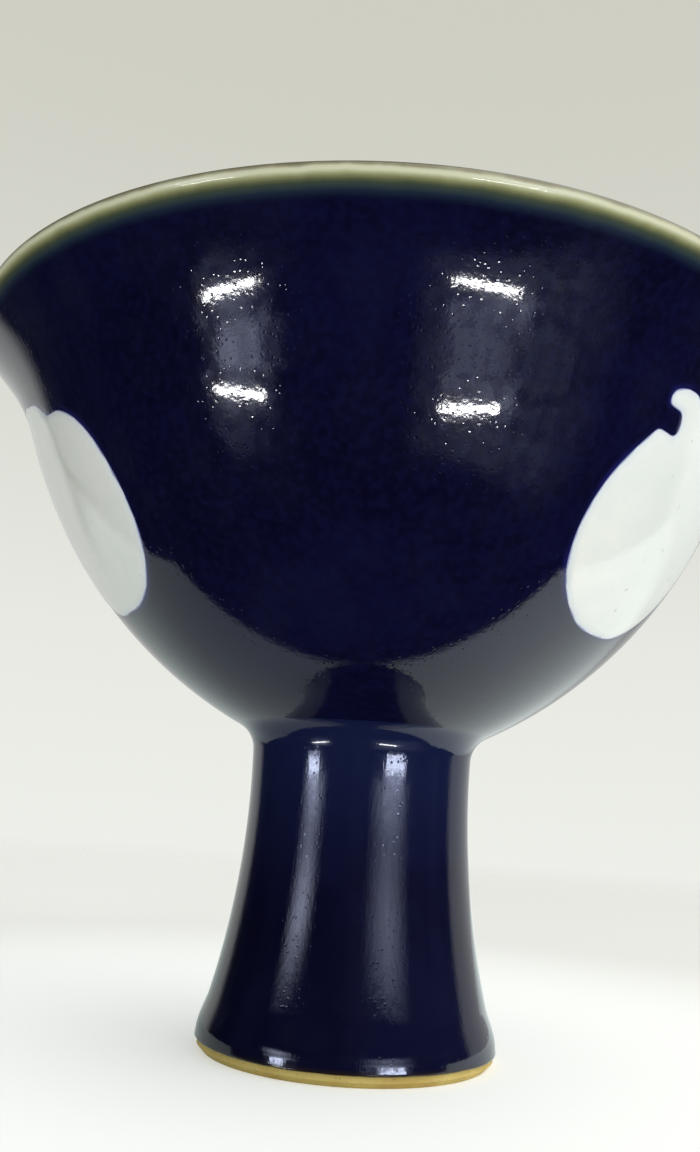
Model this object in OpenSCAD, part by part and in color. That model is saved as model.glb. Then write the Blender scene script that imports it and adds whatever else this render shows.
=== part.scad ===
// Stem cup with a flared bowl, a hollow flared stem, a dark blue glaze and three white fruit panels.
// All sizes are in millimetres. Z is up. The origin is the centre of the foot, on the surface it stands on.
// The front of the cup faces -Y.

/* [Bowl] */
// Diameter of the mouth over the lip
mouth_d = 134.6; // [126:0.2:142]
// Height of the cup from the foot to the top of the lip
cup_h = 107.8; // [101:0.2:115]
// Thickness of the lip over its glaze
lip_t = 2.2; // [1.8:0.1:3.2]
// Slope of the outside at the lip in degrees, less is more flared
lip_slope = 47; // [40:1:56]
// Radius of the hollow sweep under the lip
lip_sweep_r = 52.2; // [44:0.2:60]
// Steepest slope of the wall in degrees, where the belly turns into the lip
wall_slope = 69.5; // [66:0.5:74]
// Radius of the round belly
belly_r = 73.4; // [69:0.2:78]
// Thickness of the wall low on the bowl
low_wall_t = 4; // [3.4:0.1:5]

/* [Stem] */
// Diameter of the foot over its bevel
foot_d = 45; // [41:0.5:50]
// Diameter of the stem at its waist
waist_d = 34.9; // [32:0.1:38]
// How far the waist lies below the joint with the bowl
waist_drop = 8.4; // [6:0.2:12]
// Thickness of the stem wall
stem_wall_t = 4.5; // [3.6:0.1:6]
// Bevel on the edges of the foot
foot_bevel = 0.8; // [0.2:0.1:1.2]

/* [Joint] */
// How far the stub under the bowl reaches into the stem
stub_depth = 3; // [2:0.1:4]
// Thickness of the slip that lutes the bowl to the stem
slip_t = 0.5; // [0.3:0.1:0.8]
// Radius of the fillet round the neck
neck_fillet_r = 4.6; // [3:0.1:6]

/* [Glaze] */
// Thickness of the glaze, blue and clear alike
glaze_t = 0.5; // [0.3:0.05:0.7]
// Height of the bare clay band at the foot
bare_h = 1.6; // [1.2:0.1:3]
// Width of the pale band down the outside of the lip
lip_band_w = 1.6; // [0.8:0.1:3]
// Height inside the stem below which the clay is bare
bore_bare_h = 5; // [4:0.5:10]

/* [Fruit panels] */
// Height of the middle of each panel
panel_z = 76; // [74:0.5:79]
// Turn of the three panels about the cup in degrees
panel_turn = 55; // [0:1:119]
// How far the white panels stand proud of the blue coat
panel_rise = 0.15; // [0.05:0.05:0.3]

/* [Hidden] */
$fn = 180;

// Segments of the sampled arcs
belly_n = 28;
lip_n = 14;
stem_n = 24;
short_n = 6;
outline_n = 3;

// Lip: its own centre, then the centres of the sweep and of the belly above one another
half_lip = lip_t/2;
lip_c = [mouth_d/2 - half_lip, cup_h - half_lip];
sweep_c = lip_c + (half_lip + lip_sweep_r)*toward(lip_slope);
belly_c = sweep_c - (belly_r + lip_sweep_r)*toward(wall_slope);
clay_r = belly_r - glaze_t;

// Slope at which the pale lip band ends and the blue coat begins
band_slope = lip_slope + lip_band_w/lip_sweep_r*180/PI;

// Inside of the bowl: a tighter belly, so that the wall grows thicker downwards, and a round well
low_slope = 30;
grow = cos(wall_slope - low_slope);
thicken = (low_wall_t - lip_t*grow)/(1 - grow);
inner_r = belly_r - thicken;
inner_c = belly_c + (thicken - lip_t)*toward(wall_slope);
well_slope = 20;
well_r = inner_r + inner_c[0]/sin(well_slope);
well_c = [0, inner_c[1] + inner_c[0]/tan(well_slope)];

// Stem: one hollow sweep from the foot to the neck
foot_r = foot_d/2;
waist_r = waist_d/2;
neck_z = belly_c[1] - sqrt(pow(belly_r, 2) - pow(waist_r - belly_c[0], 2));
waist_z = neck_z - waist_drop;
flare_out = foot_r + glaze_t - waist_r;
flare_up = waist_z - bare_h;
flare_r = (pow(flare_out, 2) + pow(flare_up, 2))/(2*flare_out);
stem_c = [waist_r + flare_r, waist_z];
clay_flare_r = flare_r + glaze_t;
bore_flare_r = clay_flare_r + stem_wall_t;
bore_z = bare_h + foot_bevel;

// Neck fillet between the stem and the underside of the bowl
fillet_c = meet(belly_c, belly_r + neck_fillet_r, stem_c, flare_r - neck_fillet_r);
fillet_top = slope_of(fillet_c - belly_c);
fillet_low = slope_of(stem_c - fillet_c);

// Joint: a stub under the bowl sits in the top of the stem, with slip between them
stub_z = neck_z - stub_depth;
collar_r = stem_c[0] - sqrt(pow(bore_flare_r, 2) - pow(stub_z - waist_z, 2));
stub_r = collar_r - slip_t;
seat_r = clay_r + slip_t;
stub_slope = asin((stub_r - belly_c[0])/clay_r);
seat_slope = asin((collar_r - belly_c[0])/seat_r);
seat_edge = meet(belly_c, seat_r, stem_c, clay_flare_r);
seat_edge_slope = slope_of(seat_edge - belly_c);
stem_edge_slope = slope_of(stem_c - seat_edge);

// Panel plane: its point on the belly and the slope there
panel_slope = acos((belly_c[1] - panel_z)/belly_r);
panel_r = belly_c[0] + belly_r*sin(panel_slope);
cut_out = 3;
cut_in = 9;

// Right half of the pomegranate, from the bottom to the top of its crown
pomegranate_half = [[0, -17], [6, -16.5], [11.5, -14], [15.5, -10.5], [17.8, -6], [18.5, -1.5], [18, 3],
    [16.5, 7], [14.5, 10.5], [13.3, 11.6], [10.3, 11.9], [9.6, 13.4], [10.3, 15], [13.2, 15.2], [13.2, 17],
    [11, 18.2], [8, 18.5], [5, 17.5], [2.5, 19], [0, 20]];

// Right half of the round of the peach, then its right shoulder and the tip that bends to the left
peach_half = [[0, -16.5], [5, -16.4], [10, -15], [14, -12.2], [17, -8], [18.3, -3], [18.2, 2], [16.8, 7],
    [14, 11]];
peach_tip = [[10, 13.6], [5.5, 14.6], [3, 16.4], [0, 18], [-4, 19], [-9.5, 20], [-11, 17], [-12.6, 14.2]];

// Right half of the persimmon, with its calyx and stalk
persimmon_half = [[0, -16], [7, -15.5], [13, -13], [17, -9], [18.6, -3.5], [18.2, 2], [16, 7], [12.5, 10],
    [14.5, 13.5], [9, 13.2], [5, 14], [3, 15.5], [2.8, 18.5], [0, 19]];

// Sub-part to draw

// Direction square to a surface of the given slope, pointing out of the cup and down
function toward(a) = [sin(a), -cos(a)];

// Slope whose square direction is the given one
function slope_of(v) = atan2(v[0], -v[1]);

// Lower meeting point of two circles
function meet(c1, r1, c2, r2) =
    let (d = norm(c2 - c1), e = (c2 - c1)/d, a = (r1*r1 - r2*r2 + d*d)/(2*d), h = sqrt(r1*r1 - a*a))
    c1 + a*e + h*[e[1], -e[0]];

// Arc from slope a0 to slope a1; a negative radius gives the hollow side
function arc(c, r, a0, a1, n) = [for (i = [0:n]) c + r*toward(a0 + (a1 - a0)*i/n)];

// Slope of the stem sweep of radius r at height z
function stem_slope(r, z) = 90 + asin((waist_z - z)/r);

// Points of a list without its first one
function rest(p) = [for (i = [1:len(p) - 1]) p[i]];

// The same points from last to first
function back(p) = [for (i = [len(p) - 1:-1:0]) p[i]];

// Outline with its mirrored other half, for a half that starts and ends on the middle line
function mirrored(p) = concat(p, [for (i = [len(p) - 2:-1:1]) [-p[i][0], p[i][1]]]);

// Smooth closed curve through the points
function smooth(p, k) = [for (i = [0:len(p) - 1], j = [0:k - 1])
    let (n = len(p), a = p[(i + n - 1)%n], b = p[i], c = p[(i + 1)%n], d = p[(i + 2)%n], t = j/k)
    b + (c - a)*t/2 + (2*a - 5*b + 4*c - d)*t*t/2 + (3*b - a - 3*c + d)*t*t*t/2];

// Outside of the bowl from the fillet to the pale band, standing proud by the given amount
function bowl_side(out) = concat(
    arc(belly_c, belly_r + out, fillet_top, wall_slope, belly_n),
    rest(arc(sweep_c, -lip_sweep_r + out, wall_slope, band_slope, lip_n)));

// Inside of the bowl from the middle of the well to the lip, set back into the wall by the given amount
function bowl_inside(deep) = concat(
    [[0, well_c[1] - well_r - deep]],
    rest(arc(well_c, well_r + deep, 0, well_slope, short_n)),
    rest(arc(inner_c, inner_r + deep, well_slope, wall_slope, belly_n)),
    rest(arc(sweep_c, -lip_sweep_r - lip_t + deep, wall_slope, lip_slope, lip_n)));

// Rounded lip and the outside down to the end of the pale band, set back by the given amount
function lip_round(deep) = concat(
    rest(arc(lip_c, half_lip - deep, lip_slope + 180, lip_slope, short_n*2)),
    rest(arc(sweep_c, -lip_sweep_r - deep, lip_slope, band_slope, short_n)));

// Outside of the stem from the bare band to the fillet, then the fillet, set back by the given amount
function stem_side(deep) = concat(
    arc(stem_c, -flare_r - deep, stem_slope(flare_r + deep, bare_h), fillet_low, stem_n),
    rest(arc(fillet_c, neck_fillet_r + deep, fillet_low + 180, fillet_top + 180, short_n)));

// Bore of the stem from a height up to the stub, standing into the hollow by the given amount
function bore_side(low, proud) =
    arc(stem_c, -bore_flare_r - proud, stem_slope(bore_flare_r + proud, low),
        stem_slope(bore_flare_r + proud, stub_z - proud), stem_n);

module turned(points) {
    rotate_extrude()
    polygon(points);
}

// Prism that cuts one fruit out of the coat; panels are numbered round the cup
module fruit_prism(number, outline) {
    rotate([0, 0, panel_turn + 120*number])
    translate([0, -panel_r, panel_z])
    rotate([180 - panel_slope, 0, 0])
    translate([0, 0, -cut_in])
    linear_extrude(cut_in + cut_out)
    polygon(smooth(outline, outline_n));
}

module pomegranate_prism() {
    fruit_prism(0, mirrored(pomegranate_half));
}

module persimmon_prism() {
    fruit_prism(1, mirrored(persimmon_half));
}

module peach_prism() {
    other_half = [for (i = [len(peach_half) - 1:-1:1]) [-peach_half[i][0], peach_half[i][1]]];
    fruit_prism(2, concat(peach_half, peach_tip, other_half));
}

// Full coat over the bowl, from which the panels and the blue coat are taken
module bowl_coat(rise) {
    turned(concat(bowl_side(rise), back(bowl_side(-glaze_t))));
}

module bowl_body() {
    color([0.93, 0.92, 0.88])
    turned(concat(
        bowl_inside(glaze_t),
        lip_round(glaze_t),
        rest(back(bowl_side(-glaze_t))),
        rest(arc(belly_c, clay_r, fillet_top, stub_slope, short_n)),
        [[stub_r, stub_z], [0, stub_z]]));
}

module stem_body() {
    color([0.86, 0.76, 0.58])
    turned(concat(
        [[foot_r - foot_bevel, 0], [foot_r, foot_bevel]],
        arc(stem_c, -clay_flare_r, stem_slope(clay_flare_r, bare_h), fillet_low, stem_n),
        rest(arc(stem_c, -clay_flare_r, fillet_low, stem_edge_slope, short_n)),
        rest(arc(belly_c, seat_r, seat_edge_slope, seat_slope, short_n)),
        back(bore_side(bore_bare_h, 0)),
        rest(arc(stem_c, -bore_flare_r, stem_slope(bore_flare_r, bore_bare_h),
            stem_slope(bore_flare_r, bore_z), short_n)),
        [[stem_c[0] - bore_flare_r*sin(stem_slope(bore_flare_r, bore_z)) + foot_bevel, 0]]));
}

module luting_slip() {
    color([0.80, 0.78, 0.72])
    turned(concat(
        [[stub_r, stub_z], [collar_r, stub_z]],
        arc(belly_c, seat_r, seat_slope, seat_edge_slope, short_n),
        rest(arc(stem_c, -clay_flare_r, stem_edge_slope, fillet_low, short_n)),
        rest(arc(fillet_c, neck_fillet_r + glaze_t, fillet_low + 180, fillet_top + 180, short_n)),
        rest(arc(belly_c, clay_r, fillet_top, stub_slope, short_n))));
}

module bowl_blue_glaze() {
    color([0.05, 0.08, 0.32])
    difference() {
        bowl_coat(0);
        pomegranate_prism();
        persimmon_prism();
        peach_prism();
    }
}

module stem_blue_glaze() {
    color([0.06, 0.10, 0.38])
    turned(concat(stem_side(0), back(stem_side(glaze_t))));
}

module bowl_clear_glaze() {
    color([0.84, 0.90, 0.88])
    turned(concat(
        bowl_inside(0),
        lip_round(0),
        back(lip_round(glaze_t)),
        back(bowl_inside(glaze_t))));
}

module stem_clear_glaze() {
    color([0.80, 0.88, 0.87])
    turned(concat(
        bore_side(bore_bare_h, 0),
        [[0, stub_z], [0, stub_z - glaze_t]],
        back(bore_side(bore_bare_h, glaze_t))));
}

module pomegranate_panel() {
    color([0.88, 0.92, 0.94])
    intersection() {
        bowl_coat(panel_rise);
        pomegranate_prism();
    }
}

module peach_panel() {
    color([0.87, 0.91, 0.94])
    intersection() {
        bowl_coat(panel_rise);
        peach_prism();
    }
}

module persimmon_panel() {
    color([0.86, 0.91, 0.93])
    intersection() {
        bowl_coat(panel_rise);
        persimmon_prism();
    }
}

bowl_body();
stem_body();
luting_slip();
bowl_blue_glaze();
stem_blue_glaze();
bowl_clear_glaze();
stem_clear_glaze();
pomegranate_panel();
peach_panel();
persimmon_panel();
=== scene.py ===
"""Stem cup in dark blue glazed porcelain with white fruit panels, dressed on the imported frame.

Sizes are millimetres until a mesh is made. Meshes are in metres, in the row frame: Z up, front to -Y.
"""
import math

import bpy
import numpy as np
from mathutils import Matrix, Vector
from mathutils.geometry import delaunay_2d_cdt


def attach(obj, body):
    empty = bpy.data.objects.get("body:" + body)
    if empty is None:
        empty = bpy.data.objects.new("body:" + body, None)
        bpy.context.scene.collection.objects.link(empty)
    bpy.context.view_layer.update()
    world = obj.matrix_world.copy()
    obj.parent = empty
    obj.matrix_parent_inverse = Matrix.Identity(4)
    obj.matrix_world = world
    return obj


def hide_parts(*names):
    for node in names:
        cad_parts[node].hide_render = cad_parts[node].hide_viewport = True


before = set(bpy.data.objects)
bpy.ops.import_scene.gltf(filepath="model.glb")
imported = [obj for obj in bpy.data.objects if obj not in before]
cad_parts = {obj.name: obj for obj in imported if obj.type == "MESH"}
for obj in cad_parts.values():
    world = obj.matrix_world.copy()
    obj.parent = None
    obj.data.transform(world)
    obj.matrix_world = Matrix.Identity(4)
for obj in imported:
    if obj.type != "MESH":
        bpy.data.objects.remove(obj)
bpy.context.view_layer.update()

MM = 0.001

# Sizes of the cup, as its solids have them
MOUTH_D = 134.6
CUP_H = 107.8
LIP_T = 2.2
LIP_SLOPE = 47
LIP_SWEEP_R = 52.2
WALL_SLOPE = 69.5
BELLY_R = 73.4
LOW_WALL_T = 4
LOW_SLOPE = 30
WELL_SLOPE = 20
FOOT_D = 45
WAIST_D = 34.9
WAIST_DROP = 8.4
STEM_WALL_T = 4.5
FOOT_BEVEL = 0.8
STUB_DEPTH = 3
NECK_FILLET_R = 4.6
GLAZE_T = 0.5
BARE_H = 1.6
LIP_BAND_W = 1.6
BORE_BARE_H = 5
PANEL_Z = 76
PANEL_TURN = 55

# The fruit panels swell inside a sunk seam, and the peach has a soft cleft whose last share runs out
PANEL_RISE = 0.15
PANEL_ROUND_W = 0.9
SEAM_DEPTH = 0.05
SEAM_HALF_W = 0.3
CLEFT_DEPTH = 0.03
CLEFT_HALF_W = 1.0
CLEFT_END = 0.45

# The stem's blue glaze has run down: it swells above the foot and stands almost upright at its edge
SWELL_H = 8
SWELL_OUT = 1.56
EDGE_H = 3
EDGE_LEAN = 0.117
ROLL_H = 0.3
ROLL_PULL = 0.5

# Glaze edges waver up and down by these, near the edge only
EDGE_WAVER = 0.4
BORE_WAVER = 0.8
WAVER_REACH = 1.5
WAVER_SCALE = 5

# The thrown wall keeps its belly a little longer and then turns out more sharply than plain sweeps do.
# The crest is the share of the turn at which it stands in most
BULGE_OUT = 0.13
BULGE_WAY = 55
BULGE_HALF_W = 6
TURN_IN = 0.15
TURN_WAY = 54
TURN_CREST = 0.6

# Relief that the light alone shows, and how strongly a glaze bends light
GLAZE_BUMP = 0.06
CLAY_BUMP = 0.05
GLAZE_IOR = 1.52

# How finely the turned and patched surfaces are divided
AROUND = 288
COAT_ROWS = 76
STEM_STEPS = 60
CURVE_STEPS = 16
CLEFT_STEPS = 40
OUTLINE_STEP = 0.45
SHARP_ANGLE = 42
WELD_GAP = 0.002
MERGE_GAP = 1e-7
TINY = 1e-12

# Finer patch round each fruit: its margins, the sideways one in radians, then the rings of points beside
# the outline and the cleft, how far their points may stray, and how far the even grid keeps from both
PATCH_MARGIN = 2.2
PATCH_SIDE = 0.045
EDGE_RINGS = (-0.9, -0.4, 0.4, 0.9)
RING_SLACK = 0.12
EDGE_CLEAR = 1.25
CLEFT_RINGS = (-1.5, -1.0, -0.5, 0, 0.5, 1.0, 1.5)
CLEFT_SLACK = 0.1
CLEFT_CLEAR = 1.9
FAR_FROM_EDGE = 9.0

# The photograph's camera: place and angles, and its focal length in pixels of a 700 x 1152 frame
CAMERA_PLACE = (0, -171.13, 35.13)
CAMERA_YAW = -0.0218
CAMERA_PITCH = 0.2260
CAMERA_ROLL = 0.0639
FOCAL_PX = 1039.2
FRAME_H_PX = 1152
SENSOR = 36

# Height on the cup at which the lamps are aimed
LAMP_AIM_Z = 75


# Turned profile

def toward(slope):
    """Direction square to a surface of that slope, out of the cup and down."""
    a = math.radians(slope)
    return np.array([math.sin(a), -math.cos(a)])


def slope_of(direction):
    """Slope whose square direction is the given one."""
    return math.degrees(math.atan2(direction[0], -direction[1]))


def meet(c1, r1, c2, r2):
    """Lower meeting point of two circles."""
    d = np.linalg.norm(c2 - c1)
    e = (c2 - c1) / d
    a = (r1 * r1 - r2 * r2 + d * d) / (2 * d)
    h = math.sqrt(r1 * r1 - a * a)
    return c1 + a * e + h * np.array([e[1], -e[0]])


def arc(centre, radius, start, end, steps):
    """Points of an arc between two slopes; a negative radius gives the hollow side."""
    return [centre + radius * toward(start + (end - start) * i / steps) for i in range(steps + 1)]


half_lip = LIP_T / 2
lip_c = np.array([MOUTH_D / 2 - half_lip, CUP_H - half_lip])
sweep_c = lip_c + (half_lip + LIP_SWEEP_R) * toward(LIP_SLOPE)
belly_c = sweep_c - (BELLY_R + LIP_SWEEP_R) * toward(WALL_SLOPE)
band_slope = LIP_SLOPE + math.degrees(LIP_BAND_W / LIP_SWEEP_R)

grow = math.cos(math.radians(WALL_SLOPE - LOW_SLOPE))
thicken = (LOW_WALL_T - LIP_T * grow) / (1 - grow)
inner_r = BELLY_R - thicken
inner_c = belly_c + (thicken - LIP_T) * toward(WALL_SLOPE)
well_r = inner_r + inner_c[0] / math.sin(math.radians(WELL_SLOPE))
well_c = np.array([0, inner_c[1] + inner_c[0] / math.tan(math.radians(WELL_SLOPE))])

foot_r = FOOT_D / 2
waist_r = WAIST_D / 2
neck_z = belly_c[1] - math.sqrt(BELLY_R**2 - (waist_r - belly_c[0])**2)
waist_z = neck_z - WAIST_DROP
flare_out = foot_r + GLAZE_T - waist_r
flare_r = (flare_out**2 + (waist_z - BARE_H)**2) / (2 * flare_out)
stem_c = np.array([waist_r + flare_r, waist_z])
clay_flare_r = flare_r + GLAZE_T
bore_flare_r = clay_flare_r + STEM_WALL_T
stub_z = neck_z - STUB_DEPTH
fillet_c = meet(belly_c, BELLY_R + NECK_FILLET_R, stem_c, flare_r - NECK_FILLET_R)
fillet_top = slope_of(fillet_c - belly_c)
fillet_low = slope_of(stem_c - fillet_c)

panel_slope = math.degrees(math.acos((belly_c[1] - PANEL_Z) / BELLY_R))
panel_r = belly_c[0] + BELLY_R * math.sin(math.radians(panel_slope))


def stem_slope(radius, z):
    """Slope of the stem sweep of that radius at a height."""
    return 90 + math.degrees(math.asin((waist_z - z) / radius))


def bowl_inside(deep):
    """Inside of the bowl from the middle of the well to the lip, set back into the wall."""
    points = [np.array([0, well_c[1] - well_r - deep])]
    points += arc(well_c, well_r + deep, 0, WELL_SLOPE, 12)[1:]
    points += arc(inner_c, inner_r + deep, WELL_SLOPE, WALL_SLOPE, 44)[1:]
    points += arc(sweep_c, -LIP_SWEEP_R - LIP_T + deep, WALL_SLOPE, LIP_SLOPE, 20)[1:]
    return points


def lip_round(deep):
    """Rounded lip and the outside down to the end of the pale band, set back."""
    points = arc(lip_c, half_lip - deep, LIP_SLOPE + 180, LIP_SLOPE, 20)[1:]
    points += arc(sweep_c, -LIP_SWEEP_R - deep, LIP_SLOPE, band_slope, 6)[1:]
    return points


def stem_side(deep, low):
    """Outside of the stem from a height up to the fillet, then the fillet, set back."""
    points = arc(stem_c, -flare_r - deep, stem_slope(flare_r + deep, low), fillet_low, STEM_STEPS)
    points += arc(fillet_c, NECK_FILLET_R + deep, fillet_low + 180, fillet_top + 180, 14)[1:]
    return points


def run_down_side():
    """Side of the stem's glaze from its edge up: almost upright, swollen, then on the stem's own sweep."""
    above = stem_side(0, SWELL_H)
    top_r = above[0][0]
    top_lean = (waist_z - SWELL_H) / math.sqrt(flare_r**2 - (waist_z - SWELL_H)**2)
    fall = SWELL_H - EDGE_H
    points = []
    for z in np.linspace(BARE_H + ROLL_H, EDGE_H, 8)[:-1]:
        points.append(np.array([top_r + SWELL_OUT + EDGE_LEAN * (EDGE_H - z), z]))
    for t in np.linspace(1, 0, 16)[:-1]:
        out = (t**3 - 2 * t**2 + t) * fall * top_lean + (t**3 - t**2) * fall * EDGE_LEAN
        points.append(np.array([top_r + (3 * t**2 - 2 * t**3) * SWELL_OUT + out, SWELL_H - fall * t]))
    return points + above


def glaze_roll(start, side):
    """Rounded lower edge of the glaze, from the clay out and up to the foot of its side."""
    lean = (side[0] - side[1]) / np.linalg.norm(side[0] - side[1])
    points = []
    for t in np.linspace(1, 0, 9)[:-1]:
        leave = (2 * t**3 - 3 * t**2 + 1) * side[0] + (t**3 - 2 * t**2 + t) * ROLL_PULL * lean
        arrive = (3 * t**2 - 2 * t**3) * start + (t**3 - t**2) * np.array([-ROLL_PULL, 0])
        points.append(leave + arrive)
    return points


def bore_side(low, proud):
    """Bore of the stem from a height up to the stub, standing into the hollow."""
    r = bore_flare_r + proud
    return arc(stem_c, -r, stem_slope(r, low), stem_slope(r, stub_z - proud), 40)


# Bowl coat: a point on it is given by its turn about the cup and its way up from the fillet

belly_way = math.radians(WALL_SLOPE - fillet_top) * BELLY_R
sweep_way = math.radians(WALL_SLOPE - band_slope) * LIP_SWEEP_R
coat_way = belly_way + sweep_way
panel_way = math.radians(panel_slope - fillet_top) * BELLY_R


def coat_profile(way, out):
    """Radius and height at a way up the coat, standing proud by out."""
    low = way < belly_way
    belly_a = math.radians(fillet_top) + way / BELLY_R
    sweep_a = math.radians(WALL_SLOPE) - (way - belly_way) / LIP_SWEEP_R
    a = np.where(low, belly_a, sweep_a)
    reach = np.where(low, BELLY_R + out, out - LIP_SWEEP_R)
    r = np.where(low, belly_c[0], sweep_c[0]) + reach * np.sin(a)
    z = np.where(low, belly_c[1], sweep_c[1]) - reach * np.cos(a)
    return r, z


def on_coat(turn, way, out):
    """Points in space, in millimetres, for turns in radians and ways up the coat."""
    r, z = coat_profile(way, out)
    return np.stack([r * np.sin(turn), -r * np.cos(turn), z], -1)


def wall_drift(way):
    """How far the thrown wall lies outside its plain sweeps, in millimetres. It is nought at the lip."""
    bulge = BULGE_OUT * np.exp(-((way - BULGE_WAY) / BULGE_HALF_W)**2)
    part = np.clip((way - TURN_WAY) / (coat_way - TURN_WAY), 0, 1)
    most = TURN_CREST**3 * (1 - TURN_CREST)**2
    return bulge - TURN_IN * part**3 * (1 - part)**2 / most


def to_panel(turn, way, middle):
    """Places in the flat plane of the panel whose middle lies at that turn."""
    r, z = coat_profile(way, 0)
    a = math.radians(panel_slope)
    x = r * np.sin(turn - middle)
    y = (r * np.cos(turn - middle) - panel_r) * math.cos(a) + (z - PANEL_Z) * math.sin(a)
    return np.stack([x, y], -1)


def from_panel(flat, middle):
    """Turns and ways up the coat of places in a panel's flat plane."""
    turn = middle + flat[:, 0] / panel_r
    way = panel_way + flat[:, 1]
    step = 1e-4
    for _ in range(8):
        now = to_panel(turn, way, middle)
        by_turn = (to_panel(turn + step, way, middle) - now) / step
        by_way = (to_panel(turn, way + step, middle) - now) / step
        miss = flat - now
        det = by_turn[:, 0] * by_way[:, 1] - by_turn[:, 1] * by_way[:, 0]
        turn = turn + (miss[:, 0] * by_way[:, 1] - miss[:, 1] * by_way[:, 0]) / det
        way = way + (by_turn[:, 0] * miss[:, 1] - by_turn[:, 1] * miss[:, 0]) / det
    return turn, way


# Fruit outlines, in millimetres in the flat plane of each panel

POMEGRANATE_HALF = [
    (0, -17), (6, -16.5), (11.5, -14), (15.5, -10.5), (17.8, -6), (18.5, -1.5), (18, 3), (16.5, 7),
    (14.5, 10.5), (13.3, 11.6), (10.3, 11.9), (9.6, 13.4), (10.3, 15), (13.2, 15.2), (13.2, 17),
    (11, 18.2), (8, 18.5), (5, 17.5), (2.5, 19), (0, 20)]
PEACH_HALF = [
    (0, -16.5), (5, -16.4), (10, -15), (14, -12.2), (17, -8), (18.3, -3), (18.2, 2), (16.8, 7),
    (14, 11)]
PEACH_TIP = [
    (10, 13.6), (5.5, 14.6), (3, 16.4), (0, 18), (-4, 19), (-9.5, 20), (-11, 17), (-12.6, 14.2)]
PEACH_CLEFT = [(5.6, 14.4), (6.7, 11), (6.4, 8), (6.9, 5), (9.3, 1.8), (12.5, -0.9)]
PERSIMMON_HALF = [
    (0, -16), (7, -15.5), (13, -13), (17, -9), (18.6, -3.5), (18.2, 2), (16, 7), (12.5, 10),
    (14.5, 13.5), (9, 13.2), (5, 14), (3, 15.5), (2.8, 18.5), (0, 19)]


def mirrored(half):
    """Outline with its mirrored other half, for a half that starts and ends on the middle line."""
    return half + [(-x, y) for x, y in half[-2:0:-1]]


# The fruits in their order round the cup
FRUITS = [
    ("pomegranate", mirrored(POMEGRANATE_HALF)),
    ("persimmon", mirrored(PERSIMMON_HALF)),
    ("peach", PEACH_HALF + PEACH_TIP + [(-x, y) for x, y in PEACH_HALF[:0:-1]])]


def smooth_outline(points):
    """Closed smooth curve through the points, at even steps."""
    here = np.array(points, float)[:, None, :]
    before, after, later = (np.roll(here, k, 0) for k in (1, -1, -2))
    t = np.linspace(0, 1, CURVE_STEPS, endpoint=False)[None, :, None]
    lead = (after - before) / 2
    bend = (2 * before - 5 * here + 4 * after - later) / 2
    twist = (3 * here - before - 3 * after + later) / 2
    fine = (here + lead * t + bend * t**2 + twist * t**3).reshape(-1, 2)
    closed = np.vstack([fine, fine[:1]])
    way = np.concatenate([[0], np.cumsum(np.linalg.norm(np.diff(closed, axis=0), axis=1))])
    count = round(way[-1] / OUTLINE_STEP)
    even = np.linspace(0, way[-1], count, endpoint=False)
    return np.stack([np.interp(even, way, closed[:, k]) for k in range(2)], -1)


def from_line(places, line):
    """Distance of each place from a line of points, and how far along it the nearest point is, 0 to 1."""
    along = line[1:] - line[:-1]
    rel = places[:, None, :] - line[None, :-1]
    t = np.clip((rel * along).sum(-1) / (along * along).sum(-1), 0, 1)
    away = np.linalg.norm(rel - t[..., None] * along, axis=-1)
    nearest = away.argmin(1)
    each = np.arange(len(places))
    return away[each, nearest], (nearest + t[each, nearest]) / len(along)


def from_outline(places, outline):
    """Distance of each place from the outline, negative inside it."""
    away, _ = from_line(places, np.vstack([outline, outline[:1]]))
    start, end = outline, np.roll(outline, -1, 0)
    along = end - start
    y = places[:, 1:2]
    crosses = (start[:, 1] > y) != (end[:, 1] > y)
    rise = np.where(np.abs(along[:, 1]) < TINY, TINY, along[:, 1])
    at = start[:, 0] + (y - start[:, 1]) / rise * along[:, 0]
    inside = (crosses & (places[:, 0:1] < at)).sum(1) % 2 == 1
    return np.where(inside, -away, away)


def beside(line, along, away):
    """Places at a distance to the right of a line of points that runs along the given directions."""
    out = np.stack([along[:, 1], -along[:, 0]], -1)
    out /= np.linalg.norm(out, axis=1)[:, None]
    return line + away * out


def beside_outline(outline, away):
    """Places at an even distance from the outline, outside it where away is positive."""
    places = beside(outline, np.roll(outline, -1, 0) - np.roll(outline, 1, 0), away)
    return places[np.abs(from_outline(places, outline) - away) < RING_SLACK * abs(away)]


def cleft_line():
    """Fine points along the cleft of the peach."""
    p = np.array(PEACH_CLEFT, float)
    at = np.linspace(0, len(p) - 1, CLEFT_STEPS)
    return np.stack([np.interp(at, np.arange(len(p)), p[:, k]) for k in range(2)], -1)


def beside_cleft(outline, away):
    """Places at an even distance from the cleft, well inside the outline."""
    line = cleft_line()
    places = beside(line, np.gradient(line, axis=0), away)
    even = np.abs(from_line(places, line)[0] - abs(away)) < CLEFT_SLACK
    return places[even & (from_outline(places, outline) < -EDGE_CLEAR)]


def cleft_depth(places):
    """Depth of the cleft at places in the peach's plane; it runs out to nothing at its lower end."""
    away, along = from_line(places, cleft_line())
    return CLEFT_DEPTH * np.exp(-(away / CLEFT_HALF_W)**2) * np.clip((1 - along) / CLEFT_END, 0, 1)


# Meshes

def make_piece(name, mesh, material, node):
    """Object for a finished mesh that stands for a solid of the frame."""
    piece = bpy.data.objects.new(name, mesh)
    bpy.context.scene.collection.objects.link(piece)
    mesh.materials.clear()
    mesh.materials.append(material)
    mesh.shade_smooth()
    mesh.set_sharp_from_angle(angle=math.radians(SHARP_ANGLE))
    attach(piece, "root")
    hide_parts(node)


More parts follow.
